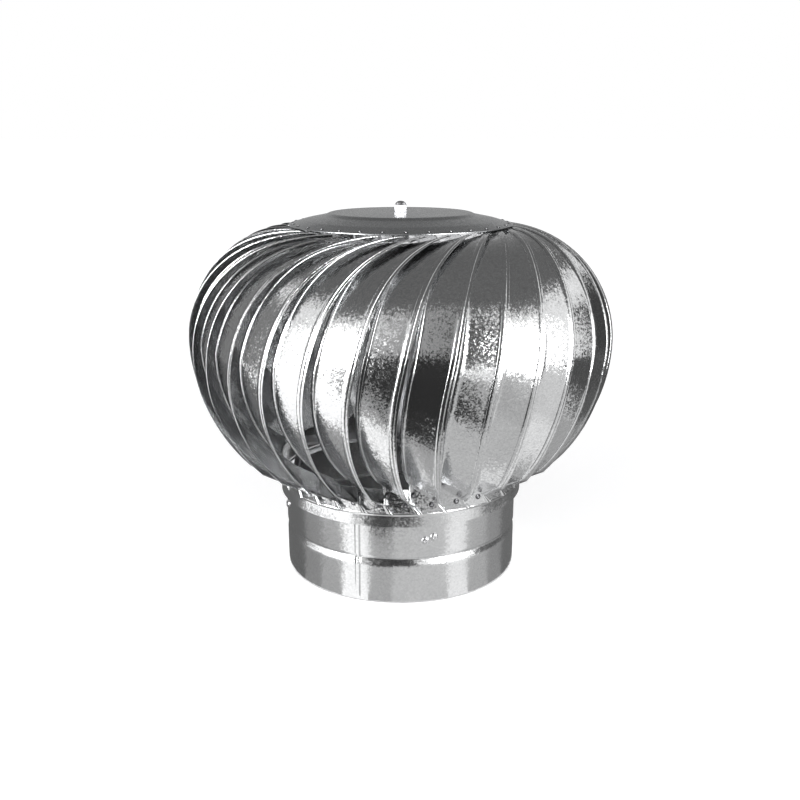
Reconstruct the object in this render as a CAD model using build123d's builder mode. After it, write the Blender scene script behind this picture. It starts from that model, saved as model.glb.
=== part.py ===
"""Roof turbine ventilator: a wind-driven head of hemmed sheet blades that turns on a fixed duct collar.

Frame: the origin is the centre of the collar's bottom rim, +Z is up along the axis, and -Y is the front.
An azimuth is counted from -Y towards +X, in degrees. All sizes are in millimetres.
"""

import math
import os

from build123d import *

# ---- driving dimensions -------------------------------------------------------------------------
# duct collar
collar_diameter = 200.0
collar_height = 74.0
collar_sheet = 0.8
groove_drop = 41.5
groove_lower_flank = 5.1
groove_upper_flank = 1.4
groove_depth = 1.8
seam_azimuth = -20.5
seam_width = 3.8
seam_rise = 0.6

# turbine head
head_diameter = 350.0
equator_rise = 126.0
head_top_rise = 90.1
head_top_diameter = 184.0
blade_count = 32
blade_width = 29.4
blade_sheet = 0.5
hem_width = 3.6
hem_thickness = 1.2
lip_width = 2.0

# rotor ring that the blades stand on, its heights from the collar's top edge
ring_clearance = 3.5
ring_wall_rise = 24.0
ring_sheet = 0.8
bead_height_rise = 3.4
bead_rise = 0.9
skirt_flare = 1.0
skirt_overlap = 7.2

# blade tab on the ring, azimuths from the blade's own equator point
tab_bead_gap = 1.6
tab_corner_rise = 4.0
tab_right_rise = 3.5
tab_left_azimuth = -8.0
tab_right_azimuth = 7.4
tab_clearance = 0.25
lap_clearance = 0.15

# top cap, its rim as wide as the head's top
cap_sheet = 0.8
cap_rim_gap = 2.3
cap_rim_width = 11.0
cap_crease_rise = 4.4
cap_cone_width = 21.0
cap_disc_rise = 4.8

# bearing bracket, riveted inside the collar
arm_count = 4
arm_azimuth = 13.3
arm_width = 20.0
arm_sheet = 2.0
bracket_rise = 38.0
bracket_bend_inset = 14.0
bracket_hub_margin = 4.0
foot_drop = 10.0
foot_length = 18.0
bend_radius = 6.0
rivet_drop = 19.5
rivet_spacing = 7.0
rivet_stagger = 2.4
rivet_shank_diameter = 4.0
rivet_head_diameter = 6.4
rivet_head_height = 1.3

# bearings, shaft and housing
shaft_diameter = 10.0
bearing_outer_diameter = 30.0
bearing_width = 9.0
inner_ring_wall = 3.2
seal_gap = 0.4
bearing_spacing = 100.0
lower_bearing_drop = 9.5
housing_wall = 3.5
housing_flange_width = 11.5
housing_flange_thickness = 4.0
shoulder_width = 2.0
bolt_inset = 5.5
bolt_diameter = 5.0
bolt_head_width = 8.0
bolt_head_height = 3.5
nut_height = 4.7
ring_clip_thickness = 1.2
shaft_clip_thickness = 1.0
fit_clearance = 0.02
hole_clearance = 0.1

# hub and cap fastening
shaft_collar_rise = 2.0
hub_height = 12.8
hub_boss_wall = 4.0
hub_flange_diameter = 56.0
hub_flange_thickness = 3.0
stud_diameter = 6.0
cap_nut_width = 10.0
cap_nut_height = 9.0
cap_nut_shoulder = 6.4

# ---- values worked out from them ----------------------------------------------------------------
collar_radius = collar_diameter / 2
collar_bore = collar_radius - collar_sheet
head_radius = head_diameter / 2
head_top_radius = head_top_diameter / 2
groove_height = collar_height - groove_drop
equator_height = collar_height + equator_rise
head_top_height = equator_height + head_top_rise
ring_wall_radius = collar_radius + ring_clearance
ring_wall_top = collar_height + ring_wall_rise
bead_height = collar_height + bead_height_rise
skirt_radius = ring_wall_radius + skirt_flare
skirt_bottom = collar_height - skirt_overlap
tab_inner_radius = ring_wall_radius + tab_clearance
tab_bottom_height = bead_height + tab_bead_gap
tab_corner_height = ring_wall_top + tab_corner_rise
tab_right_height = tab_bottom_height + tab_right_rise
cap_crease_radius = head_top_radius - cap_rim_width
cap_disc_radius = cap_crease_radius - cap_cone_width
cap_rim_height = head_top_height + cap_rim_gap
cap_crease_height = cap_rim_height + cap_crease_rise
cap_top_height = cap_crease_height + cap_disc_rise
blade_pitch = 360 / blade_count
arm_pitch = 360 / arm_count
foot_radius = math.sqrt(collar_bore**2 - (arm_width / 2) ** 2)
foot_top_height = collar_height - foot_drop
foot_bottom_height = foot_top_height - foot_length
rivet_height = collar_height - rivet_drop
bracket_top_height = collar_height + bracket_rise
bracket_underside = bracket_top_height - arm_sheet
bracket_bend_radius = collar_radius - bracket_bend_inset
lower_bearing_height = bracket_top_height - lower_bearing_drop
upper_bearing_height = lower_bearing_height + bearing_spacing
bearing_radius = bearing_outer_diameter / 2
housing_radius = bearing_radius + housing_wall
flange_radius = housing_radius + housing_flange_width
bolt_circle_radius = flange_radius - bolt_inset
bracket_hub_radius = flange_radius + bracket_hub_margin
shaft_radius = shaft_diameter / 2
inner_ring_radius = shaft_radius + inner_ring_wall
shaft_collar_radius = shaft_radius + shaft_collar_rise
hub_boss_radius = shaft_collar_radius + hub_boss_wall
cap_underside = cap_top_height - cap_sheet
hub_seat_height = cap_underside - hub_height


def write(piece, name):
    """Labels a finished piece and writes it as its own file."""
    piece.part.label = name
    export_step(piece.part, f"parts/{name}.step")


def at_azimuth(radius, azimuth, height):
    """The point at a radius, an azimuth and a height."""
    turn = math.radians(azimuth)
    return Vector(radius * math.sin(turn), -radius * math.cos(turn), height)


def radial_plane(radius, azimuth, height):
    """A plane that faces outwards at a radius and an azimuth, with its x axis level and its y axis up."""
    turn = math.radians(azimuth)
    return Plane(
        origin=at_azimuth(radius, azimuth, height),
        x_dir=(math.cos(turn), math.sin(turn), 0),
        z_dir=(math.sin(turn), -math.cos(turn), 0),
    )


os.makedirs("parts", exist_ok=True)

# ---- duct collar: rolled sheet with a lock seam and an inward stop groove ---------------------------
groove_deepest = groove_height + groove_lower_flank
groove_top = groove_deepest + groove_upper_flank


def collar_edge(radius):
    """The collar's wall line from bottom to top, at the outside or the inside of the sheet."""
    return [
        (radius, 0),
        (radius, groove_height),
        (radius - groove_depth, groove_deepest),
        (radius, groove_top),
        (radius, collar_height),
    ]


def rivet_planes(azimuth):
    """The outward planes of the two rivets at one bracket foot, on the collar's outer face."""
    half_turn = math.degrees(rivet_spacing / 2 / collar_radius)
    return [
        radial_plane(
            collar_radius, azimuth + side * half_turn, rivet_height + side * rivet_stagger / 2
        )
        for side in (-1, 1)
    ]


arm_azimuths = [arm_azimuth + arm_pitch * i for i in range(arm_count)]
all_rivet_planes = [plane for azimuth in arm_azimuths for plane in rivet_planes(azimuth)]
rivet_grip = collar_radius - foot_radius + arm_sheet

with BuildPart() as collar:
    with BuildSketch(Plane.XZ):
        with BuildLine():
            Polyline(*collar_edge(collar_radius), *reversed(collar_edge(collar_bore)), close=True)
        make_face()
    revolve(axis=Axis.Z)
    with BuildSketch(radial_plane(collar_radius - collar_sheet / 2, seam_azimuth, 0)):
        Rectangle(seam_width, collar_height, align=(Align.CENTER, Align.MIN))
    extrude(amount=collar_sheet / 2 + seam_rise)
    for plane in all_rivet_planes:
        with BuildSketch(plane.offset(-rivet_grip)):
            Circle(rivet_shank_diameter / 2 + hole_clearance)
        extrude(amount=2 * rivet_grip, mode=Mode.SUBTRACT)
write(collar, "collar")

# ---- bearing bracket: a pressed four-arm sheet, its feet riveted inside the collar ------------------
foot_face = foot_radius - fit_clearance
foot_middle = foot_face - arm_sheet / 2
arm_level = bracket_top_height - arm_sheet / 2

with BuildPart() as bearing_bracket:
    for azimuth in arm_azimuths:
        arm_plane = Plane(
            origin=(0, 0, 0),
            x_dir=at_azimuth(1, azimuth, 0),
            z_dir=at_azimuth(1, azimuth - 90, 0),
        )
        with BuildSketch(arm_plane):
            with BuildLine():
                FilletPolyline(
                    (bracket_hub_radius / 2, arm_level),
                    (bracket_bend_radius, arm_level),
                    (foot_middle, foot_top_height),
                    (foot_middle, foot_bottom_height),
                    radius=bend_radius,
                )
            trace(line_width=arm_sheet)
        extrude(amount=arm_width / 2, both=True)
    with BuildSketch(Plane.XY.offset(bracket_underside)):
        Circle(bracket_hub_radius)
    extrude(amount=arm_sheet)
    with BuildSketch(Plane.XY.offset(bracket_underside)):
        Circle(housing_radius + hole_clearance)
        with PolarLocations(bolt_circle_radius, 4, start_angle=arm_azimuth + 45):
            Circle(bolt_diameter / 2 + hole_clearance)
    extrude(amount=arm_sheet, mode=Mode.SUBTRACT)
    for plane in all_rivet_planes:
        with BuildSketch(plane.offset(-2 * rivet_grip)):
            Circle(rivet_shank_diameter / 2 + hole_clearance)
        extrude(amount=3 * rivet_grip, mode=Mode.SUBTRACT)
write(bearing_bracket, "bearing_bracket")

# ---- pop rivets that hold the bracket's feet to the collar -------------------------------------------
with BuildPart() as spider_rivets:
    for plane in all_rivet_planes:
        with BuildSketch(plane):
            Circle(rivet_head_diameter / 2)
        extrude(amount=rivet_head_height, taper=25)
        with BuildSketch(plane.offset(-rivet_grip - rivet_head_height)):
            Circle(rivet_shank_diameter / 2)
        extrude(amount=rivet_grip + 2 * rivet_head_height)
write(spider_rivets, "spider_rivets")

# ---- bearing housing: turned flange and tube, a bearing seat at each end ---------------------------
housing_bottom = lower_bearing_height - 2 * ring_clip_thickness
housing_top = upper_bearing_height + bearing_width + 2 * ring_clip_thickness
flange_top = bracket_top_height + housing_flange_thickness
lower_shoulder = lower_bearing_height + bearing_width
clip_groove_radius = bearing_radius + 0.7
clip_side_play = 0.1

with BuildPart() as bearing_housing:
    with BuildSketch(Plane.XZ):
        with BuildLine():
            Polyline(
                (bearing_radius + fit_clearance, housing_bottom),
                (housing_radius, housing_bottom),
                (housing_radius, bracket_top_height),
                (flange_radius, bracket_top_height),
                (flange_radius, flange_top),
                (housing_radius, flange_top),
                (housing_radius, housing_top),
                (bearing_radius + fit_clearance, housing_top),
                (bearing_radius + fit_clearance, upper_bearing_height),
                (bearing_radius - shoulder_width, upper_bearing_height),
                (bearing_radius - shoulder_width, lower_shoulder),
                (bearing_radius + fit_clearance, lower_shoulder),
                close=True,
            )
        make_face()
    revolve(axis=Axis.Z)
    for groove_bottom in (
        lower_bearing_height - ring_clip_thickness - clip_side_play,
        upper_bearing_height + bearing_width,
    ):
        with BuildSketch(Plane.XY.offset(groove_bottom)):
            Circle(clip_groove_radius + clip_side_play)
        extrude(amount=ring_clip_thickness + clip_side_play, mode=Mode.SUBTRACT)
    with BuildSketch(Plane.XY.offset(bracket_top_height)):
        with PolarLocations(bolt_circle_radius, 4, start_angle=arm_azimuth + 45):
            Circle(bolt_diameter / 2 + hole_clearance)
    extrude(amount=housing_flange_thickness, mode=Mode.SUBTRACT)
write(bearing_housing, "bearing_housing")

# ---- housing bolts and nuts -------------------------------------------------------------------------
with BuildPart() as housing_bolts:
    with BuildSketch(Plane.XY.offset(flange_top)):
        with PolarLocations(bolt_circle_radius, 4, start_angle=arm_azimuth + 45):
            RegularPolygon(bolt_head_width / 2, 6, major_radius=False)
    extrude(amount=bolt_head_height)
    with BuildSketch(Plane.XY.offset(flange_top)):
        with PolarLocations(bolt_circle_radius, 4, start_angle=arm_azimuth + 45):
            Circle(bolt_diameter / 2)
    extrude(amount=-(flange_top - bracket_underside + nut_height + 1))
write(housing_bolts, "housing_bolts")

with BuildPart() as housing_nuts:
    with BuildSketch(Plane.XY.offset(bracket_underside - nut_height)):
        with PolarLocations(bolt_circle_radius, 4, start_angle=arm_azimuth + 45):
            RegularPolygon(bolt_head_width / 2, 6, major_radius=False)
            Circle(bolt_diameter / 2 + fit_clearance, mode=Mode.SUBTRACT)
    extrude(amount=nut_height)
write(housing_nuts, "housing_nuts")

# ---- two sealed ball bearings: outer ring with its seals, inner ring, and clips -------------------
for place, bearing_bottom in (("lower", lower_bearing_height), ("upper", upper_bearing_height)):
    with BuildPart() as outer_ring:
        with BuildSketch(Plane.XY.offset(bearing_bottom)):
            Circle(bearing_radius)
            Circle(inner_ring_radius + seal_gap, mode=Mode.SUBTRACT)
        extrude(amount=bearing_width)
    write(outer_ring, f"{place}_bearing_outer_ring")

    with BuildPart() as inner_ring:
        with BuildSketch(Plane.XY.offset(bearing_bottom)):
            Circle(inner_ring_radius)
            Circle(shaft_radius + fit_clearance, mode=Mode.SUBTRACT)
        extrude(amount=bearing_width)
    write(inner_ring, f"{place}_bearing_inner_ring")

clip_gap_angle = 40
clip_width = 3.2
for place, clip_bottom in (
    ("lower", lower_bearing_height - ring_clip_thickness - clip_side_play / 2),
    ("upper", upper_bearing_height + bearing_width + clip_side_play / 2),
):
    with BuildPart() as housing_clip:
        with BuildSketch(Plane.XZ):
            with BuildLine():
                Polyline(
                    (clip_groove_radius - clip_width, clip_bottom),
                    (clip_groove_radius, clip_bottom),
                    (clip_groove_radius, clip_bottom + ring_clip_thickness - clip_side_play),
                    (
                        clip_groove_radius - clip_width,
                        clip_bottom + ring_clip_thickness - clip_side_play,
                    ),
                    close=True,
                )
            make_face()
        revolve(axis=Axis.Z, revolution_arc=360 - clip_gap_angle)
    write(housing_clip, f"{place}_housing_clip")

# ---- rotor shaft, its clip, and the hub flange that carries the cap --------------------------------
shaft_bottom = lower_bearing_height - 4.5
shaft_groove_depth = 0.3
shaft_clip_top = lower_bearing_height - clip_side_play
shaft_clip_bottom = shaft_clip_top - shaft_clip_thickness
shaft_shoulder_height = upper_bearing_height + bearing_width
stud_top = cap_top_height + cap_nut_height - 2

with BuildPart() as rotor_shaft:
    with BuildSketch(Plane.XZ):
        with BuildLine():
            Polyline(
                (0, shaft_bottom),
                (shaft_radius, shaft_bottom),
                (shaft_radius, shaft_shoulder_height),
                (shaft_collar_radius, shaft_shoulder_height),
                (shaft_collar_radius, hub_seat_height),
                (shaft_radius, hub_seat_height),
                (shaft_radius, cap_underside - 0.5),
                (stud_diameter / 2, cap_underside - 0.5),
                (stud_diameter / 2, stud_top),
                (0, stud_top),
                close=True,
            )
        make_face()
    revolve(axis=Axis.Z)
    with BuildSketch(Plane.XY.offset(shaft_clip_bottom)):
        Circle(shaft_radius)
        Circle(shaft_radius - shaft_groove_depth, mode=Mode.SUBTRACT)
    extrude(amount=shaft_clip_thickness, mode=Mode.SUBTRACT)
write(rotor_shaft, "rotor_shaft")

with BuildPart() as shaft_clip:
    with BuildSketch(Plane.XY.offset(shaft_clip_bottom + fit_clearance)):
        Circle(shaft_radius + 2.2)
        Circle(shaft_radius - shaft_groove_depth + fit_clearance, mode=Mode.SUBTRACT)
        with Locations((0, -shaft_radius)):
            Rectangle(5, 2 * shaft_radius, mode=Mode.SUBTRACT)
    extrude(amount=shaft_clip_thickness - 2 * fit_clearance)
write(shaft_clip, "shaft_clip")

with BuildPart() as hub_flange:
    with BuildSketch(Plane.XY.offset(hub_seat_height)):
        Circle(hub_boss_radius)
    extrude(amount=cap_underside - hub_seat_height)
    with BuildSketch(Plane.XY.offset(cap_underside - hub_flange_thickness)):
        Circle(hub_flange_diameter / 2)
    extrude(amount=hub_flange_thickness)
    with BuildSketch(Plane.XY.offset(hub_seat_height)):
        Circle(shaft_radius + fit_clearance)
    extrude(amount=cap_underside - hub_seat_height, mode=Mode.SUBTRACT)
write(hub_flange, "hub_flange")

# ---- top cap: pressed disc with a raised centre, clamped by one domed nut ---------------------------


def cap_edge(drop):
    """The cap's line from the centre hole to the rim, at the top or the underside of the sheet."""
    return [
        (stud_diameter / 2 + hole_clearance, cap_top_height - drop),
        (cap_disc_radius, cap_top_height - drop),
        (cap_crease_radius, cap_crease_height - drop),
        (head_top_radius, cap_rim_height - drop),
    ]


with BuildPart() as top_cap:
    with BuildSketch(Plane.XZ):
        with BuildLine():
            Polyline(*cap_edge(0), *reversed(cap_edge(cap_sheet)), close=True)
        make_face()
    revolve(axis=Axis.Z)
write(top_cap, "top_cap")

with BuildPart() as cap_nut:
    with BuildSketch(Plane.XY.offset(cap_top_height)):
        RegularPolygon(cap_nut_width / 2, 6, major_radius=False)
    extrude(amount=cap_nut_height)
    with BuildSketch(Plane.XZ):
        with BuildLine():
            Polyline(
                (0, cap_top_height),
                (cap_nut_width, cap_top_height),
                (cap_nut_width, cap_top_height + cap_nut_shoulder),
                (cap_nut_width / 2, cap_top_height + cap_nut_shoulder),
                (cap_nut_width / 4, cap_top_height + cap_nut_height - 0.5),
                (0, cap_top_height + cap_nut_height),
                close=True,
            )
        make_face()
    revolve(axis=Axis.Z, mode=Mode.INTERSECT)
    with BuildSketch(Plane.XY.offset(cap_top_height)):
        Circle(stud_diameter / 2 + fit_clearance)
    extrude(amount=stud_top - cap_top_height + 0.1, mode=Mode.SUBTRACT)
write(cap_nut, "cap_nut")

# ---- bottom ring: upright wall for the blade tabs, a bead, and a skirt outside the collar -----------
skirt_top_radius = ring_wall_radius + 0.2
bead_half = 1.3

with BuildPart() as bottom_ring:
    with BuildSketch(Plane.XZ):
        with BuildLine():
            Polyline(
                (skirt_radius - ring_sheet, skirt_bottom),
                (skirt_radius, skirt_bottom),
                (skirt_top_radius, bead_height - bead_half),
                (ring_wall_radius + bead_rise, bead_height),
                (ring_wall_radius, bead_height + bead_half),
                (ring_wall_radius, ring_wall_top),
                (ring_wall_radius - ring_sheet, ring_wall_top),
                (ring_wall_radius - ring_sheet, bead_height - bead_half),
                close=True,
            )
        make_face()
    revolve(axis=Axis.Z)
write(bottom_ring, "bottom_ring")

# ---- turbine blades ---------------------------------------------------------------------------------
# Each blade is one straight hemmed strip, bent over the head and twisted as it goes. Its outer edge
# follows the head's outline and a swirl. Its inner edge tucks under the blade before it, a little at the
# equator and more towards the ring, where the strip's flat end is folded down onto the ring's wall.
# A place along the blade is p: 0 at the equator, 1 at the cap and -1 at the ring.
upper_fullness = 0.53
lower_fullness = 0.8
swirl_at_equator = 10.0
swirl_at_cap = 24.0
swirl_exponent = 3.4
equator_lean = 14.0
cap_lean = 4.5
ring_lean = 45.0
strip_places = (1, 0.93, 0.85, 0.76, 0.66, 0.54, 0.4, 0.22, 0, -0.18, -0.34, -0.48)
flat_end_place = -0.6


def head_outline(p):
    """The radius and height of the head's outline at a place along the blade."""
    reach = math.sin(math.radians(90 * abs(p)))
    if p >= 0:
        radius = head_top_radius + (head_radius - head_top_radius) * (1 - reach**2) ** upper_fullness
        return radius, equator_height + (head_top_height - equator_height) * reach
    radius = tab_inner_radius + (head_radius - tab_inner_radius) * (1 - reach**2) ** lower_fullness
    return radius, equator_height - (equator_height - tab_bottom_height) * reach


def swirl(p):
    """How far the outer hem has turned from its azimuth at the equator."""
    if p >= 0:
        return swirl_at_equator * p + swirl_at_cap * p**swirl_exponent
    return 14 * p + 30 * p**2 - 8.5 * p**4


def lean(p):
    """How far the strip leans in from the head's outline, across its width."""
    return equator_lean + (cap_lean * p if p >= 0 else -ring_lean * p)


def outer_hem(p):
    """A point of the outer hem's edge."""
    radius, height = head_outline(p)
    return at_azimuth(radius, swirl(p), height)


def strip_section(inner, outer, outward):
    """The strip cut across: a thin sheet with a folded hem at each edge and a lip beyond the outer hem."""
    across = (outer - inner).normalized()
    normal = (outward - across * outward.dot(across)).normalized()
    width = (outer - inner).length
    with BuildSketch(Plane(origin=inner, x_dir=across, z_dir=across.cross(normal))) as section:
        with BuildLine():
            Polyline(
                (0, 0),
                (width + lip_width, 0),
                (width + lip_width, blade_sheet),
                (width, blade_sheet),
                (width, hem_thickness),
                (width - hem_width, hem_thickness),
                (width - hem_width, blade_sheet),
                (hem_width, blade_sheet),
                (hem_width, hem_thickness),
                (0, hem_thickness),
                close=True,
            )
        make_face()
    return section.sketch


def free_section(p):
    """The strip's section at a place where it bridges from the ring to the cap."""
    step = 0.004
    below = max(p - step, -1)
    above = min(p + step, 1)
    along = (outer_hem(above) - outer_hem(below)).normalized()
    radius_below, height_below = head_outline(below)
    radius_above, height_above = head_outline(above)
    outward = at_azimuth(height_above - height_below, swirl(p), radius_below - radius_above)
    outward = (outward - along * outward.dot(along)).normalized()
    turn = math.radians(lean(p))
    inwards = outward.cross(along) * math.cos(turn) - outward * math.sin(turn)
    outer = outer_hem(p)
    return strip_section(outer + inwards * blade_width, outer, outward)


# The tab's left edge lies on the ring's wall and its right edge laps over the next tab's hem.
tab_span = tab_right_azimuth - tab_left_azimuth
tab_lap = blade_pitch / tab_span
tab_bow = 4 * tab_lap * (1 - tab_lap) * tab_inner_radius * (1 - math.cos(math.radians(tab_span / 2)))
tab_rise = (hem_thickness + lap_clearance + tab_bow) / tab_lap


def tab_left(height):
    """A point of the tab's left edge."""
    return at_azimuth(tab_inner_radius, tab_left_azimuth, height)


def tab_right(height):
    """A point of the tab's right edge."""
    return at_azimuth(tab_inner_radius + tab_rise, tab_right_azimuth, height)


def tab_section(left_height, right_height):
    """The strip's section where it lies on the ring's wall."""
    level = (tab_right(0) - tab_left(0)).normalized()
    outward = level.cross(Vector(0, 0, 1))
    return strip_section(tab_left(left_height), tab_right(right_height), outward)


def flat_end_section():
    """The strip's section where its flat end panel begins, in one plane with the fold above the tab."""
    outer = outer_hem(flat_end_place)
    along = (tab_right(tab_right_height) - outer).normalized()
    to_corner = tab_left(tab_corner_height) - outer
    inwards = (to_corner - along * to_corner.dot(along)).normalized()
    return strip_section(outer + inwards * blade_width, outer, inwards.cross(along))


with BuildPart() as blade_form:
    for p in strip_places:
        add(free_section(p))
    add(flat_end_section())
    add(tab_section(tab_corner_height, tab_right_height))
    add(tab_section(tab_bottom_height, tab_bottom_height))
    loft(ruled=True)

for i in range(blade_count):
    with BuildPart() as blade:
        with Locations(Location((0, 0, 0), (0, 0, blade_pitch * i))):
            add(blade_form.part)
    write(blade, f"blade_{i + 1:02d}")
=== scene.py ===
import math

import bmesh
import bpy
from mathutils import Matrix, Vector


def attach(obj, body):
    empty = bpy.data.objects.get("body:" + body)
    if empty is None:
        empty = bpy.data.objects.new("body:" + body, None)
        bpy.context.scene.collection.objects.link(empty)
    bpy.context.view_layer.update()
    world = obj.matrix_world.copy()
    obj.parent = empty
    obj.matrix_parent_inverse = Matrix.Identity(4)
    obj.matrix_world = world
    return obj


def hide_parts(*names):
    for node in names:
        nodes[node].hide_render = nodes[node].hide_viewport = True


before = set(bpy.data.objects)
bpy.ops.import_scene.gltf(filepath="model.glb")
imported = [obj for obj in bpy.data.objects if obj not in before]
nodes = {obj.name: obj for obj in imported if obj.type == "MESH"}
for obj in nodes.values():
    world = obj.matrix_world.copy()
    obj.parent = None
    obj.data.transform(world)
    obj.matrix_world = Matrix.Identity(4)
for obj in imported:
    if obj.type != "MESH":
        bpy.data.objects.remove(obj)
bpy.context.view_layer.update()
MM = 0.001

# ---- Studio --------------------------------------------------------------------------------------
# A pale floor and a white surround, with a soft box on each side. Grey and black cards that only
# reflections see stand round the ventilator, so that its curves show as bands of white and dark.
scene = bpy.context.scene
scene.view_settings.view_transform = "Standard"


def node_chain(tree):
    """Makes a short call that adds a node to a tree and sets its inputs and properties."""

    def add(kind, inputs=None, **properties):
        node = tree.nodes.new(kind)
        for key, value in properties.items():
            setattr(node, key, value)
        for key, value in (inputs or {}).items():
            if isinstance(value, bpy.types.NodeSocket):
                tree.links.new(value, node.inputs[key])
            else:
                node.inputs[key].default_value = value
        return node

    return add


def empty_material(name):
    """A new node material with nothing but its output, and the call that adds nodes to it."""
    material = bpy.data.materials.new(name)
    material.use_nodes = True
    material.node_tree.nodes.clear()
    return material, node_chain(material.node_tree)


def show(material, add, shader):
    """Connects a shader to the material's output."""
    add("ShaderNodeOutputMaterial", {"Surface": shader})
    return material


def sees_background(add):
    """1 for a ray that shows the background: from the camera, in a reflection or through glass."""
    rays = add("ShaderNodeLightPath").outputs
    seen = rays["Is Camera Ray"]
    for kind in ("Is Glossy Ray", "Is Transmission Ray"):
        seen = add("ShaderNodeMath", {0: seen, 1: rays[kind]}, operation="MAXIMUM").outputs[0]
    return seen


world = bpy.data.worlds.new("studio_surround")
scene.world = world
world.use_nodes = True
world.node_tree.nodes.clear()
add = node_chain(world.node_tree)
lit = add("ShaderNodeBackground", {"Color": (0.42, 0.42, 0.43, 1), "Strength": 0.9})
white = add("ShaderNodeBackground", {"Color": (1, 1, 1, 1), "Strength": 1.0})
mix = add("ShaderNodeMixShader", {0: sees_background(add), 1: lit.outputs[0], 2: white.outputs[0]})
add("ShaderNodeOutputWorld", {"Surface": mix.outputs[0]})

floor_reach = 60
floor_drop = 0.4 * MM
floor_corners = [(x * floor_reach, y * floor_reach, 0) for x, y in ((-1, -1), (1, -1), (1, 1), (-1, 1))]
floor_mesh = bpy.data.meshes.new("floor")
floor_mesh.from_pydata(floor_corners, [], [(0, 1, 2, 3)])
floor = bpy.data.objects.new("floor", floor_mesh)
floor.location.z = -floor_drop
scene.collection.objects.link(floor)
pale, add = empty_material("pale_floor")
matt = add("ShaderNodeBsdfDiffuse", {"Color": (0.80, 0.80, 0.80, 1)})
spot = add("ShaderNodeTexCoord").outputs["Object"]
from_axis = add("ShaderNodeVectorMath", {0: spot}, operation="LENGTH").outputs["Value"]
collar_reach = 0.1
outside = add("ShaderNodeMath", {0: from_axis, 1: collar_reach}, operation="GREATER_THAN")
strength = add(
    "ShaderNodeMapRange",
    {"Value": from_axis, "From Min": 0.25, "From Max": 2.0, "To Min": 0.52, "To Max": 0.76},
)
lift = add("ShaderNodeMath", {0: sees_background(add), 1: strength.outputs[0]}, operation="MULTIPLY")
lift = add("ShaderNodeMath", {0: lift.outputs[0], 1: outside.outputs[0]}, operation="MULTIPLY")
glow = add("ShaderNodeEmission", {"Color": (1, 1, 1, 1), "Strength": lift.outputs[0]})
both = add("ShaderNodeAddShader", {0: matt.outputs[0], 1: glow.outputs[0]})
floor_mesh.materials.append(show(pale, add, both.outputs[0]))


def soft_box(name, place, target, size, power):
    """A rectangular lamp that looks at a point."""
    lamp = bpy.data.lights.new(name, "AREA")
    lamp.shape = "RECTANGLE"
    lamp.size, lamp.size_y = size
    lamp.energy = power
    holder = bpy.data.objects.new(name, lamp)
    holder.location = place
    holder.rotation_euler = (Vector(target) - Vector(place)).to_track_quat("-Z", "Y").to_euler()
    scene.collection.objects.link(holder)


head_centre = (0, 0, 0.19)
soft_box("left_soft_box", (-1.15, -0.85, 0.42), head_centre, (0.75, 1.0), 22)
soft_box("right_soft_box", (1.10, -0.96, 0.47), head_centre, (0.85, 0.9), 19)


def card(name, grey, points):
    """A grey card that only reflections see."""
    mesh = bpy.data.meshes.new(name)
    mesh.from_pydata(points, [], [tuple(range(len(points)))])
    board = bpy.data.objects.new(name, mesh)
    scene.collection.objects.link(board)
    paint, add = empty_material(name + "_paint")
    glow = add("ShaderNodeEmission", {"Color": (grey, grey, grey, 1), "Strength": 1.0})
    mesh.materials.append(show(paint, add, glow.outputs[0]))
    board.visible_camera = False
    board.visible_shadow = False
    board.visible_diffuse = False


def around(radius, azimuth, height):
    """A point at a radius, an azimuth in degrees from the front towards the right, and a height."""
    turn = math.radians(azimuth)
    return Vector((radius * math.sin(turn), -radius * math.cos(turn), height))


def standing_card(name, grey, radius, start, end, bottom, top):
    """An upright card between two azimuths."""
    foot = [around(radius, start, bottom), around(radius, end, bottom)]
    card(name, grey, foot + [around(radius, end, top), around(radius, start, top)])


def mirrored_spot(azimuth, reach):
    """A floor point that the collar's wall mirrors: it lies off the wall at half the azimuth."""
    wall_radius = 0.101
    return around(wall_radius, azimuth / 2, 0) + around(reach, azimuth, 0)


def floor_card(name, grey, start, end, near, far):
    """A card that lies on the floor between two mirrored azimuths and two reaches."""
    steps = 12
    turns = [start + (end - start) * i / steps for i in range(steps + 1)]
    inner = [mirrored_spot(turn, near) for turn in reversed(turns)]
    card(name, grey, [mirrored_spot(turn, far) for turn in turns] + inner)


# Name, grey, distance from the axis, first and last azimuth, bottom and top.
standing_card("left_side_card", 0.24, 1.2, -150, -86, 0.0, 0.9)
standing_card("right_side_card", 0.06, 1.2, 92, 150, 0.0, 0.7)
standing_card("back_low_card", 0.42, 1.6, 150, 210, 0.33, 0.85)
standing_card("back_high_card", 0.20, 1.6, 150, 210, 0.85, 1.6)
standing_card("front_low_card", 0.03, 0.5, -28, 14, 0.0, 0.305)
standing_card("front_left_low_card", 0.30, 0.5, -44, -28, 0.0, 0.25)
standing_card("right_low_card", 0.08, 0.5, 66, 100, 0.0, 0.17)
standing_card("front_high_card", 0.40, 1.3, -30, 4, 0.50, 2.1)
standing_card("front_dark_card", 0.09, 1.3, 4, 31, 0.30, 2.1)
ceiling_half, ceiling_front, ceiling_back, ceiling_height = 1.3, -0.85, 1.6, 1.45
card(
    "ceiling_card",
    0.15,
    [
        (-ceiling_half, ceiling_front, ceiling_height),
        (ceiling_half, ceiling_front, ceiling_height),
        (ceiling_half, ceiling_back, ceiling_height),
        (-ceiling_half, ceiling_back, ceiling_height),
    ],
)
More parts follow.
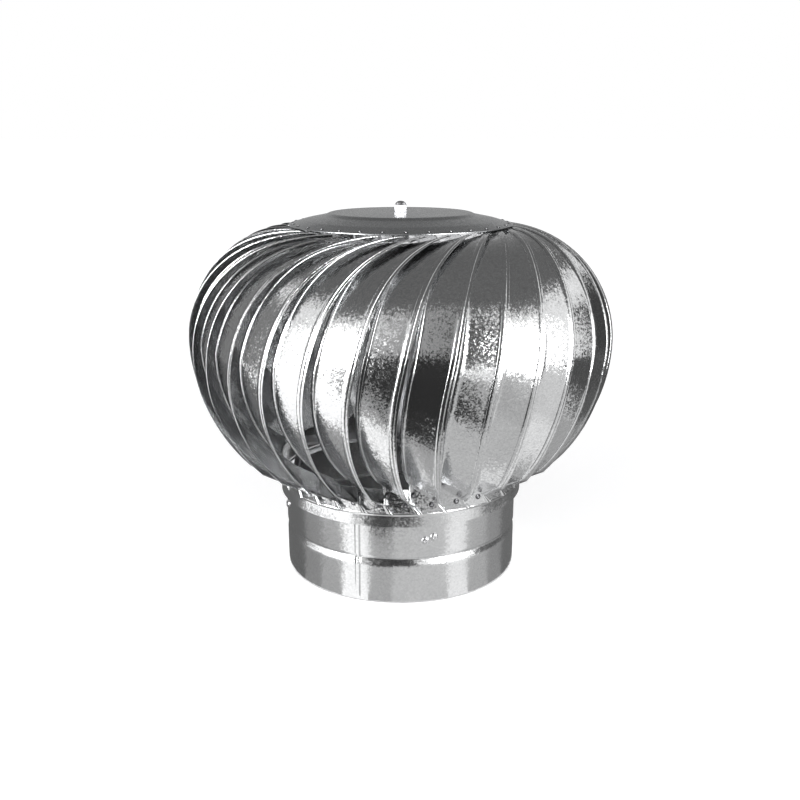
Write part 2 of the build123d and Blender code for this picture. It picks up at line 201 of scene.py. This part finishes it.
# The floor's cards lie in two rings. Each row has a first and a last azimuth, the reach at which the
# near ring ends or the far ring begins, and a grey.
ring_edge, short_edge, far_end = 0.22, 0.13, 1.2
near_floor = (
    (-170, -110, ring_edge, 0.14), (-110, -84, ring_edge, 0.28), (-84, -58, ring_edge, 0.42),
    (-58, -31, ring_edge, 1.2), (-31, -8, short_edge, 0.46), (-8, 46, ring_edge, 0.60),
    (46, 68, ring_edge, 0.95), (68, 95, ring_edge, 0.46), (95, 120, ring_edge, 0.30),
    (120, 170, ring_edge, 0.16),
)
for number, (start, end, edge, grey) in enumerate(near_floor):
    floor_card(f"near_floor_card_{number + 1}", grey, start, end, 0.0, edge)
far_floor = (
    (-160, -100, ring_edge, 0.14), (-45, -31, ring_edge, 0.4), (-31, -8, short_edge, 0.03),
    (-8, 15, ring_edge, 0.03), (15, 45, ring_edge, 0.52), (45, 80, ring_edge, 0.75),
    (80, 160, ring_edge, 0.12),
)
for number, (start, end, edge, grey) in enumerate(far_floor):
    floor_card(f"far_floor_card_{number + 1}", grey, start, end, edge, far_end)

camera_dip = 15.58
camera_data = bpy.data.cameras.new("camera")
camera_data.sensor_width = 36
camera_data.lens = 42.99
camera_data.shift_x = -0.0008
camera = bpy.data.objects.new("camera", camera_data)
camera.location = (0, -0.79663, 0.36345)
camera.rotation_euler = (math.radians(90 - camera_dip), 0, 0)
scene.collection.objects.link(camera)
scene.camera = camera

# ---- Duct collar ---------------------------------------------------------------------------------
# A rolled band of hot-dip galvanised sheet with one lock seam and an inward stop groove. It is the fixed
# base of the ventilator and slips over the end of the duct.


def galvanised(name, bright, dull, roughness, spangle, tilt, tone_attribute=None):
    """Zinc-coated metal: crystals and grains that each lean a little, cloudy patches and a fine bump."""
    material, add = empty_material(name)
    where = add("ShaderNodeTexCoord").outputs["Object"]
    if tone_attribute:
        tone = add("ShaderNodeAttribute", attribute_name=tone_attribute)
        where = add("ShaderNodeVectorMath", {0: where, 1: tone.outputs["Fac"]}).outputs[0]
    crystals = add("ShaderNodeTexVoronoi", {"Vector": where, "Scale": 1 / spangle})
    grains_per_crystal = 2.6
    grains = add("ShaderNodeTexVoronoi", {"Vector": where, "Scale": grains_per_crystal / spangle})
    clouds = add("ShaderNodeTexNoise", {"Vector": where, "Scale": 38, "Detail": 6, "Roughness": 0.62})
    fine = add("ShaderNodeTexNoise", {"Vector": where, "Scale": 900, "Detail": 3})
    crystal_grey = add("ShaderNodeSeparateColor", {"Color": crystals.outputs["Color"]})
    grain_grey = add("ShaderNodeSeparateColor", {"Color": grains.outputs["Color"]})
    blend = add("ShaderNodeMath", {0: crystal_grey.outputs[0], 1: 0.45}, operation="MULTIPLY")
    blend = add(
        "ShaderNodeMath",
        {0: grain_grey.outputs[1], 1: 0.25, 2: blend.outputs[0]},
        operation="MULTIPLY_ADD",
    )
    cloud_share = add(
        "ShaderNodeMapRange",
        {"Value": clouds.outputs["Fac"], "From Min": 0.3, "From Max": 0.7, "To Max": 0.3},
    )
    blend = add("ShaderNodeMath", {0: blend.outputs[0], 1: cloud_share.outputs[0]})
    colour = add("ShaderNodeMix", {0: blend.outputs[0], 6: (*dull, 1), 7: (*bright, 1)}, data_type="RGBA")
    rough = add(
        "ShaderNodeMapRange",
        {"Value": blend.outputs[0], "To Min": roughness + 0.07, "To Max": roughness - 0.05},
    )
    normal = add("ShaderNodeNewGeometry").outputs["Normal"]
    for source, share in ((crystals, tilt), (grains, tilt * 0.8)):
        slant = add(
            "ShaderNodeVectorMath",
            {0: source.outputs["Color"], 1: (0.5, 0.5, 0.5)},
            operation="SUBTRACT",
        )
        normal = add(
            "ShaderNodeVectorMath",
            {0: slant.outputs[0], 1: (share, share, share), 2: normal},
            operation="MULTIPLY_ADD",
        ).outputs[0]
    normal = add("ShaderNodeVectorMath", {0: normal}, operation="NORMALIZE").outputs[0]
    bump = add(
        "ShaderNodeBump",
        {"Height": fine.outputs["Fac"], "Strength": 0.12, "Distance": 0.0002, "Normal": normal},
    )
    skin = add(
        "ShaderNodeBsdfPrincipled",
        {
            "Base Color": colour.outputs[2],
            "Metallic": 1.0,
            "Roughness": rough.outputs[0],
            "Normal": bump.outputs[0],
        },
    )
    return show(material, add, skin.outputs[0])


def mesh_piece(name, points, faces, material, sharp_degrees=35):
    """A named object at the origin from points and faces, smooth but for its sharp edges."""
    mesh = bpy.data.meshes.new(name)
    mesh.from_pydata([tuple(p) for p in points], [], faces)
    work = bmesh.new()
    work.from_mesh(mesh)
    bmesh.ops.recalc_face_normals(work, faces=work.faces)
    work.to_mesh(mesh)
    work.free()
    mesh.materials.append(material)
    mesh.shade_smooth()
    mesh.set_sharp_from_angle(angle=math.radians(sharp_degrees))
    piece = bpy.data.objects.new(name, mesh)
    scene.collection.objects.link(piece)
    return piece


def eased(points, radius, steps=5):
    """A line through the points with each corner rounded."""
    line = [Vector(points[0])]
    for before, corner, after in zip(points, points[1:], points[2:]):
        corner = Vector(corner)
        back = Vector(before) - corner
        on = Vector(after) - corner
        reach = min(radius, back.length * 0.45, on.length * 0.45)
        start = corner + back.normalized() * reach
        end = corner + on.normalized() * reach
        for i in range(steps + 1):
            t = i / steps
            line.append(start * (1 - t) ** 2 + corner * 2 * t * (1 - t) + end * t**2)
    line.append(Vector(points[-1]))
    return line


def sheet_outline(line, thickness):
    """The closed outline of a sheet whose middle follows a line, with chamfered edges."""
    sides = []
    for i, point in enumerate(line):
        along = (line[min(i + 1, len(line) - 1)] - line[max(i - 1, 0)]).normalized()
        sides.append((point, Vector((-along.y, along.x)), along))
    half = thickness / 2
    chamfer = 0.6
    first, last = sides[0], sides[-1]
    outline = [point + side * half for point, side, along in sides]
    outline.append(last[0] + last[2] * half * chamfer)
    outline += [point - side * half for point, side, along in reversed(sides)]
    outline.append(first[0] - first[2] * half * chamfer)
    return outline


def turned_sheet(name, outline, material, steps, swell=None):
    """Turns a closed outline of radius and height round the axis."""
    count = len(outline)
    points = []
    for i in range(steps):
        turn = 2 * math.pi * i / steps
        for radius, height in outline:
            reach = radius + (swell(turn, height) if swell else 0)
            points.append((reach * math.sin(turn), -reach * math.cos(turn), height))
    faces = []
    for i in range(steps):
        j = (i + 1) % steps
        for k in range(count):
            m = (k + 1) % count
            faces.append((i * count + k, j * count + k, j * count + m, i * count + m))
    return mesh_piece(name, points, faces, material)


sheet_zinc = galvanised(
    "galvanised_collar_sheet", (0.88, 0.885, 0.89), (0.70, 0.705, 0.71), 0.19, 0.0014, 0.06
)
sheet_thickness = 0.8 * MM
collar_middle = 99.6 * MM
groove = ((31.5, 0), (36.2, 1.5), (37.9, 1.75), (39.2, 0))
seam_turn = math.radians(-20.1)
seam_half = 1.55 * MM / collar_middle
seam_rise = 0.55 * MM
seam_slope = 0.45
valley_width = 0.7
valley_depth = 0.3 * MM


def seam_swell(turn, height):
    """How far the folded seam stands out from the band, with a fine valley along each side."""
    offset = (turn - seam_turn + math.pi) % (2 * math.pi) - math.pi
    edge = (seam_half - abs(offset)) * collar_middle / MM
    if -valley_width < edge < 0:
        return -valley_depth
    return seam_rise * min(max(edge / seam_slope, 0), 1)


collar_line = [(collar_middle, 0.3 * MM)]
collar_line += [(collar_middle - depth * MM, height * MM) for height, depth in groove]
collar_line += [(collar_middle, 73.7 * MM)]
collar = turned_sheet(
    "collar_band",
    sheet_outline(eased(collar_line, 2.2 * MM), sheet_thickness),
    sheet_zinc,
    steps=1440,
    swell=seam_swell,
)
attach(collar, "base")
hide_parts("collar")

# ---- Bearing bracket -----------------------------------------------------------------------------
# A four-armed bow pressed from 2 mm zinc-plated steel. Its feet are pop-riveted to the inside of the
# collar, and its middle carries the bearing housing.
plated = galvanised("zinc_plated_pressing", (0.50, 0.50, 0.51), (0.33, 0.33, 0.34), 0.38, 0.0016, 0.06)


def finish_node(name, material):
    """Gives a carried-over part its material."""
    mesh = nodes[name].data
    mesh.materials.clear()
    mesh.materials.append(material)


finish_node("bearing_bracket", plated)

# ---- Bracket rivets ------------------------------------------------------------------------------
# Eight aluminium pop rivets in four staggered pairs, one pair through each foot of the bracket. Each is
# a low dome with a small hole where its mandrel broke off.
aluminium = galvanised("rivet_aluminium", (0.82, 0.82, 0.83), (0.62, 0.62, 0.63), 0.30, 0.0011, 0.05)


def polar_tree():
    """The nodes that set copies of a piece round the axis, each with its own tone."""
    tree = bpy.data.node_groups.new("copies_round_the_axis", "GeometryNodeTree")
    wanted = (
        ("Geometry", "NodeSocketGeometry"),
        ("Count", "NodeSocketInt"),
        ("Azimuth", "NodeSocketFloat"),
        ("Radius", "NodeSocketFloat"),
        ("Height", "NodeSocketFloat"),
        ("Tilt", "NodeSocketFloat"),
        ("Tone Seed", "NodeSocketInt"),
        ("Material", "NodeSocketMaterial"),
    )
    for label, kind in wanted:
        tree.interface.new_socket(label, in_out="INPUT", socket_type=kind)
    tree.interface.new_socket("Geometry", in_out="OUTPUT", socket_type="NodeSocketGeometry")
    add = node_chain(tree)
    given = add("NodeGroupInput").outputs
    tip = add("ShaderNodeCombineXYZ", {"X": given["Tilt"]})
    back = add("ShaderNodeMath", {0: given["Radius"], 1: -1.0}, operation="MULTIPLY")
    out = add("ShaderNodeCombineXYZ", {"Y": back.outputs[0], "Z": given["Height"]})
    placed = add(
        "GeometryNodeTransform",
        {"Geometry": given["Geometry"], "Translation": out.outputs[0], "Rotation": tip.outputs[0]},
    )
    spots = add("GeometryNodeMeshLine", {"Count": given["Count"], "Offset": (0, 0, 0)})
    index = add("GeometryNodeInputIndex")
    share = add("ShaderNodeMath", {0: index.outputs[0], 1: given["Count"]}, operation="DIVIDE")
    turn = add(
        "ShaderNodeMath",
        {0: share.outputs[0], 1: 2 * math.pi, 2: given["Azimuth"]},
        operation="MULTIPLY_ADD",
    )
    spin = add("ShaderNodeCombineXYZ", {"Z": turn.outputs[0]})
    copies = add(
        "GeometryNodeInstanceOnPoints",
        {"Points": spots.outputs[0], "Instance": placed.outputs[0], "Rotation": spin.outputs[0]},
    )
    tone = add("FunctionNodeRandomValue", {"Seed": given["Tone Seed"]}, data_type="FLOAT")
    toned = add(
        "GeometryNodeStoreNamedAttribute",
        {"Geometry": copies.outputs[0], "Name": "tone", "Value": tone.outputs[1]},
        data_type="FLOAT",
        domain="INSTANCE",
    )
    whole = add("GeometryNodeRealizeInstances", {"Geometry": toned.outputs[0]})
    painted = add("GeometryNodeSetMaterial", {"Geometry": whole.outputs[0], "Material": given["Material"]})
    add("NodeGroupOutput", {"Geometry": painted.outputs[0]})
    return tree


copies_tree = polar_tree()


def set_round(name, master, material, count, azimuth=0.0, radius=0.0, height=0.0, tilt=0.0):
    """Copies a piece round the axis into one plain mesh and drops the piece. Azimuth and tilt in degrees."""
    modifier = master.modifiers.new("copies", "NODES")
    modifier.node_group = copies_tree
    values = {
        "Count": count,
        "Azimuth": math.radians(azimuth),
        "Radius": radius,
        "Height": height,
        "Tilt": math.radians(tilt),
        "Tone Seed": 3,
        "Material": material,
    }
    for item in copies_tree.interface.items_tree:
        if item.in_out == "INPUT" and item.name in values:
            modifier[item.identifier] = values[item.name]
    seen_now = master.evaluated_get(bpy.context.evaluated_depsgraph_get())
    mesh = bpy.data.meshes.new_from_object(seen_now)
    mesh.name = name
    bpy.data.objects.remove(master)
    piece = bpy.data.objects.new(name, mesh)
    scene.collection.objects.link(piece)
    return piece


def turned_solid(name, outline, material, steps):
    """A small turned solid from radii and heights, its first and last points on the axis."""
    points = [(0, 0, outline[0][1])]
    rings = outline[1:-1]
    for radius, height in rings:
        for i in range(steps):
            turn = 2 * math.pi * i / steps
            points.append((radius * math.cos(turn), radius * math.sin(turn), height))
    points.append((0, 0, outline[-1][1]))
    last = len(points) - 1
    faces = []
    for i in range(steps):
        j = (i + 1) % steps
        faces.append((0, 1 + j, 1 + i))
        for k in range(len(rings) - 1):
            a = 1 + k * steps
            faces.append((a + i, a + j, a + steps + j, a + steps + i))
        a = 1 + (len(rings) - 1) * steps
        faces.append((a + i, a + j, last))
    return mesh_piece(name, points, faces, material, sharp_degrees=40)


pop_rivet_outline = [
    (0, -3.6), (2.0, -3.6), (2.0, -0.05), (3.2, 0), (3.15, 0.35), (2.5, 0.95), (1.6, 1.3), (1.15, 1.35),
    (1.0, 0.75), (0, 0.6),
]
pop_rivet_outline = [(r * MM, z * MM) for r, z in pop_rivet_outline]
foot_azimuth, foot_height, foot_count = 13.3, 54.5, 4
for name, side in (("collar_pop_rivets_left", -1), ("collar_pop_rivets_right", 1)):
    rivets = set_round(
        name,
        turned_solid("pop_rivet", pop_rivet_outline, aluminium, steps=16),
        aluminium,
        foot_count,
        azimuth=foot_azimuth + side * 2.0,
        radius=99.95 * MM,
        height=(foot_height + side * 1.2) * MM,
        tilt=90,
    )
    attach(rivets, "base")
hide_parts("spider_rivets")

# ---- Bearing housing, bolts, bearings and clips ----------------------------------------------------
# A turned steel tube with a flange, bolted on the bracket. It holds a sealed ball bearing at each end,
# each kept in by a spring clip.
turned_steel = galvanised("turned_housing_steel", (0.46, 0.46, 0.47), (0.36, 0.36, 0.37), 0.34, 0.0009, 0.03)
bright_zinc = galvanised("bright_zinc_fastener", (0.80, 0.80, 0.82), (0.66, 0.66, 0.68), 0.2, 0.0012, 0.03)
ground = galvanised("ground_bearing_steel", (0.62, 0.62, 0.63), (0.55, 0.55, 0.56), 0.18, 0.0006, 0.01)
spring = galvanised("phosphated_spring_steel", (0.10, 0.10, 0.11), (0.06, 0.06, 0.065), 0.42, 0.0008, 0.04)
finish_node("bearing_housing", turned_steel)
for name in ("housing_bolts", "housing_nuts"):
    finish_node(name, bright_zinc)
for name in nodes:
    if "bearing_outer" in name or "bearing_inner" in name:
        finish_node(name, ground)
    if name.endswith("_clip"):
        finish_node(name, spring)

# ---- Rotor shaft and hub flange --------------------------------------------------------------------
# The ground shaft turns in the two bearings. The flanged hub that sits on its shoulder carries the cap,
# and the blades hang from the cap.
finish_node("rotor_shaft", ground)
finish_node("hub_flange", plated)

# ---- Bottom ring -----------------------------------------------------------------------------------
# A rolled sheet ring: an upright wall that the blade tabs are riveted to, a bead, and a skirt that hangs
# outside the collar with a running gap.
ring_line = [
    (104.0, 66.9), (103.45, 75.0), (103.35, 76.2), (104.1, 77.4), (103.15, 78.9), (103.1, 97.9),
]
ring = turned_sheet(
    "bottom_ring_band",
    sheet_outline(eased([(r * MM, z * MM) for r, z in ring_line], 0.6 * MM), sheet_thickness),
    sheet_zinc,
    steps=256,
)
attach(ring, "rotor")
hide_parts("bottom_ring")

# ---- Turbine blades --------------------------------------------------------------------------------
# Thirty-two straight strips of thin galvanised sheet with both edges hemmed. Each is bent over the head and
# twisted, tucked under the cap's rim at the top, and folded to a tab that laps the next on the ring.
# A place along a blade is p: 0 at the equator, 1 at the cap and -1 at the ring. All sizes in millimetres.
blade_count = 32
blade_width = 29.4
lip_width = 2.0
head_radius = 175.0
equator_height = 200.0
top_radius = 92.0
top_height = 290.1
tab_radius = 103.75
tab_bottom = 79.0
hem_width = 3.4
hem_rise = 1.2
lap_clearance = 0.15


def head_outline(p):
    """The radius and height of the head's outline."""
    reach = math.sin(math.pi / 2 * abs(p))
    if p >= 0:
        radius = top_radius + (head_radius - top_radius) * (1 - reach**2) ** 0.53
        return radius, equator_height + (top_height - equator_height) * reach
    radius = tab_radius + (head_radius - tab_radius) * (1 - reach**2) ** 0.8
    return radius, equator_height - (equator_height - tab_bottom) * reach


def swirl(p):
    """How far the outer hem has turned, in degrees."""
    return 10 * p + 24 * p**3.4 if p >= 0 else 14 * p + 30 * p**2 - 8.5 * p**4


def lean(p):
    """How far the strip leans in across its width, in degrees."""
    return 14 + 4.5 * p if p >= 0 else 14 - 45 * p


def outer_hem(p):
    """A point of the outer hem's edge."""
    radius, height = head_outline(p)
    return around(radius, swirl(p), height)


def hemmed_outline():
    """The strip across its width: a thin crowned sheet, a round-backed hem at each edge, an outer lip."""
    sheet, crown, nook = 0.5, 0.12, 0.25
    bead = [(0.0, sheet + 0.06), (0.12, 0.92), (0.55, hem_rise - 0.06), (1.2, hem_rise + 0.02)]
    bead += [(hem_width / 2, hem_rise + 0.04)]
    bead += [(hem_width - u, v) for u, v in reversed(bead[:-1])]
    edge = blade_width
    lip = edge + lip_width
    crown_places = (0.18, 0.34, 0.5, 0.66, 0.82)
    under = [(edge * t, crown * math.sin(math.pi * t)) for t in crown_places]
    under += [(lip - 0.15, 0.0)]
    top = [(lip, 0.08), (lip, sheet - 0.08), (lip - 0.15, sheet), (edge + 0.06, sheet)]
    top += [(edge - u, v) for u, v in bead] + [(edge - hem_width - nook, sheet)]
    top += [(edge * t, sheet + crown * math.sin(math.pi * t)) for t in reversed(crown_places)]
    top += [(hem_width + nook, sheet)] + list(reversed(bead)) + [(0.0, 0.1), (0.1, 0.0)]
    return under + top


strip_outline = hemmed_outline()


def section_points(inner, outer, outward):
    """The strip's outline laid from its inner to its outer edge."""
    across = (outer - inner).normalized()
    normal = (outward - across * outward.dot(across)).normalized()
    return [inner + across * u + normal * v for u, v in strip_outline]


def free_points(p):
    """The outline where the strip bridges from the ring to the cap."""
    step = 0.004
    below, above = max(p - step, -1), min(p + step, 1)
    along = (outer_hem(above) - outer_hem(below)).normalized()
    radius_below, height_below = head_outline(below)
    radius_above, height_above = head_outline(above)
    outward = around(height_above - height_below, swirl(p), radius_below - radius_above)
    outward = (outward - along * outward.dot(along)).normalized()
    turn = math.radians(lean(p))
    inwards = outward.cross(along) * math.cos(turn) - outward * math.sin(turn)
    outer = outer_hem(p)
    return section_points(outer + inwards * blade_width, outer, outward)


tab_left_azimuth, tab_right_azimuth = -8.0, 7.4
tab_span = tab_right_azimuth - tab_left_azimuth
tab_lap = 360 / blade_count / tab_span
tab_bow = 4 * tab_lap * (1 - tab_lap) * tab_radius * (1 - math.cos(math.radians(tab_span / 2)))
tab_rise = (hem_rise + lap_clearance + tab_bow) / tab_lap
tab_corner, tab_right_end = 102.0, 82.5


def tab_left(height):
    """A point of the tab's left edge, on the ring's wall."""
    return around(tab_radius, tab_left_azimuth, height)


def tab_right(height):
    """A point of the tab's right edge, over the next tab's hem."""
    return around(tab_radius + tab_rise, tab_right_azimuth, height)


def tab_points(left_height, right_height):
    """The outline where the strip's end lies on the ring, its right side over the next tab."""
    level = (tab_right(0) - tab_left(0)).normalized()
    outward = level.cross(Vector((0, 0, 1)))
    return section_points(tab_left(left_height), tab_right(right_height), outward)


def flat_end_points(p):
    """The outline where the flat end panel begins, in one plane with the fold above the tab."""
    outer = outer_hem(p)
    along = (tab_right(tab_right_end) - outer).normalized()
    to_corner = tab_left(tab_corner) - outer
    inwards = (to_corner - along * to_corner.dot(along)).normalized()
    return section_points(outer + inwards * blade_width, outer, inwards.cross(along))


def between(first, second, steps):
    """Outlines at even steps between two, the second one included."""
    return [[a.lerp(b, i / steps) for a, b in zip(first, second)] for i in range(1, steps + 1)]


stations = 72
last_free = -0.54
flat_end_place = -0.6
sections = [free_points(1 - (1 - last_free) * i / stations) for i in range(stations + 1)]
flat_end = flat_end_points(flat_end_place)
folded = tab_points(tab_corner, tab_right_end)
sections += between(sections[-1], flat_end, 3)
sections += between(flat_end, folded, 5)
sections += between(folded, tab_points(tab_bottom, tab_bottom), 3)

points = [point * MM for section in sections for point in section]
count = len(strip_outline)
faces = []
for i in range(len(sections) - 1):
    for k in range(count):
        m = (k + 1) % count
        a, b = i * count, (i + 1) * count
        faces.append((a + k, a + m, b + m, b + k))
faces.append(tuple(range(count)))
faces.append(tuple(range((len(sections) - 1) * count, len(sections) * count)))
blade_zinc = galvanised(
    "galvanised_blade_sheet", (0.84, 0.845, 0.85), (0.60, 0.605, 0.61), 0.14, 0.0012, 0.105, "tone"
)
one_blade = mesh_piece("one_blade", points, faces, blade_zinc, sharp_degrees=38)
blades = set_round("turbine_blades", one_blade, blade_zinc, blade_count)
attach(blades, "rotor")
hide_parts(*[f"blade_{i + 1:02d}" for i in range(blade_count)])

# ---- Blade rivets ----------------------------------------------------------------------------------
# Small blind rivets: two through each tab and the ring's wall, and one through the cap's rim and each blade.
# Each has a flange coloured near black, which makes a dark ring round the bright end of its broken mandrel in
# the middle.
# The flange's near-black colour draws the dark ring round each rivet's bright middle.
near_black_flange = galvanised("rivet_flange_steel", (0.20, 0.20, 0.21), (0.12, 0.12, 0.125), 0.30, 0.0008, 0.04)
flange_outline = [
    (0, -1.6), (1.1, -1.6), (1.1, 0.0), (2.3, 0.0), (2.3, 0.35), (1.8, 0.7), (1.15, 0.75), (1.1, 0.4),
    (0, 0.4),
]
stem_outline = [(0, 0.2), (1.0, 0.2), (1.0, 0.75), (0.7, 1.1), (0, 1.2)]
rivet_parts = (("", flange_outline, near_black_flange), ("_stems", stem_outline, bright_zinc))
# Name, azimuth, radius, height, tilt from upright in degrees, and size.
rivet_rows = (
    ("tab_rivets_upper", -5.9, 104.8, 93.5, 90, 1.0),
    ("tab_rivets_lower", 2.0, 105.2, 85.5, 90, 1.0),
    ("cap_rim_rivets", 2.5, 88.6, 293.2, 15.5, 0.75),
)
for name, azimuth, radius, height, tilt, size in rivet_rows:
    for part, outline, metal in rivet_parts:
        line = [(r * size * MM, z * size * MM) for r, z in outline]
        small_rivet = turned_solid("small_rivet", line, metal, steps=12)
        row = set_round(name + part, small_rivet, metal, blade_count, azimuth, radius * MM, height * MM, tilt)
        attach(row, "rotor")

# ---- Top cap and nut -------------------------------------------------------------------------------
# A pressed disc of galvanised sheet with a raised centre and a creased cone. One domed M6 nut with a
# corner to the front clamps it to the hub.
cap_line = [(3.2, 301.2), (58, 301.2), (62.5, 299.2), (79, 295.9), (91.7, 292.1)]
cap_zinc = galvanised("galvanised_cap_sheet", (0.60, 0.61, 0.62), (0.46, 0.47, 0.48), 0.27, 0.0012, 0.05)
cap = turned_sheet(
    "top_cap_disc",
    sheet_outline(eased([(r * MM, z * MM) for r, z in cap_line], 1.6 * MM), sheet_thickness),
    cap_zinc,
    steps=256,
)
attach(cap, "rotor")
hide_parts("top_cap")

nut_half_width = 5.0
nut_corner_reach = 5.6
nut_points = 24
nut_step = 360 / nut_points
hexagon = []
for i in range(nut_points):
    facet = math.radians((nut_step * i + 30) % 60 - 30)
    hexagon.append(min(nut_half_width / math.cos(facet), nut_corner_reach))
nut_levels = ((301.6, 0.94), (302.1, 1.0), (307.2, 1.0), (307.8, 0.94))
dome_levels = ((308.0, 4.5), (309.2, 3.9), (310.1, 2.7), (310.55, 1.3))
levels = [(height, [reach * share for reach in hexagon]) for height, share in nut_levels]
levels += [(height, [reach] * nut_points) for height, reach in dome_levels]
points = []
for height, reaches in levels:
    for i, reach in enumerate(reaches):
        turn = math.radians(nut_step * i)
        points.append((reach * math.cos(turn) * MM, reach * math.sin(turn) * MM, height * MM))
faces = [tuple(range(nut_points))]
for k in range(len(levels) - 1):
    low, high = k * nut_points, (k + 1) * nut_points
    for i in range(nut_points):
        j = (i + 1) % nut_points
        faces.append((low + i, low + j, high + j, high + i))
faces.append(tuple(range((len(levels) - 1) * nut_points, len(levels) * nut_points)))
cap_nut = mesh_piece("domed_cap_nut", points, faces, bright_zinc, sharp_degrees=25)
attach(cap_nut, "rotor")
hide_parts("cap_nut")
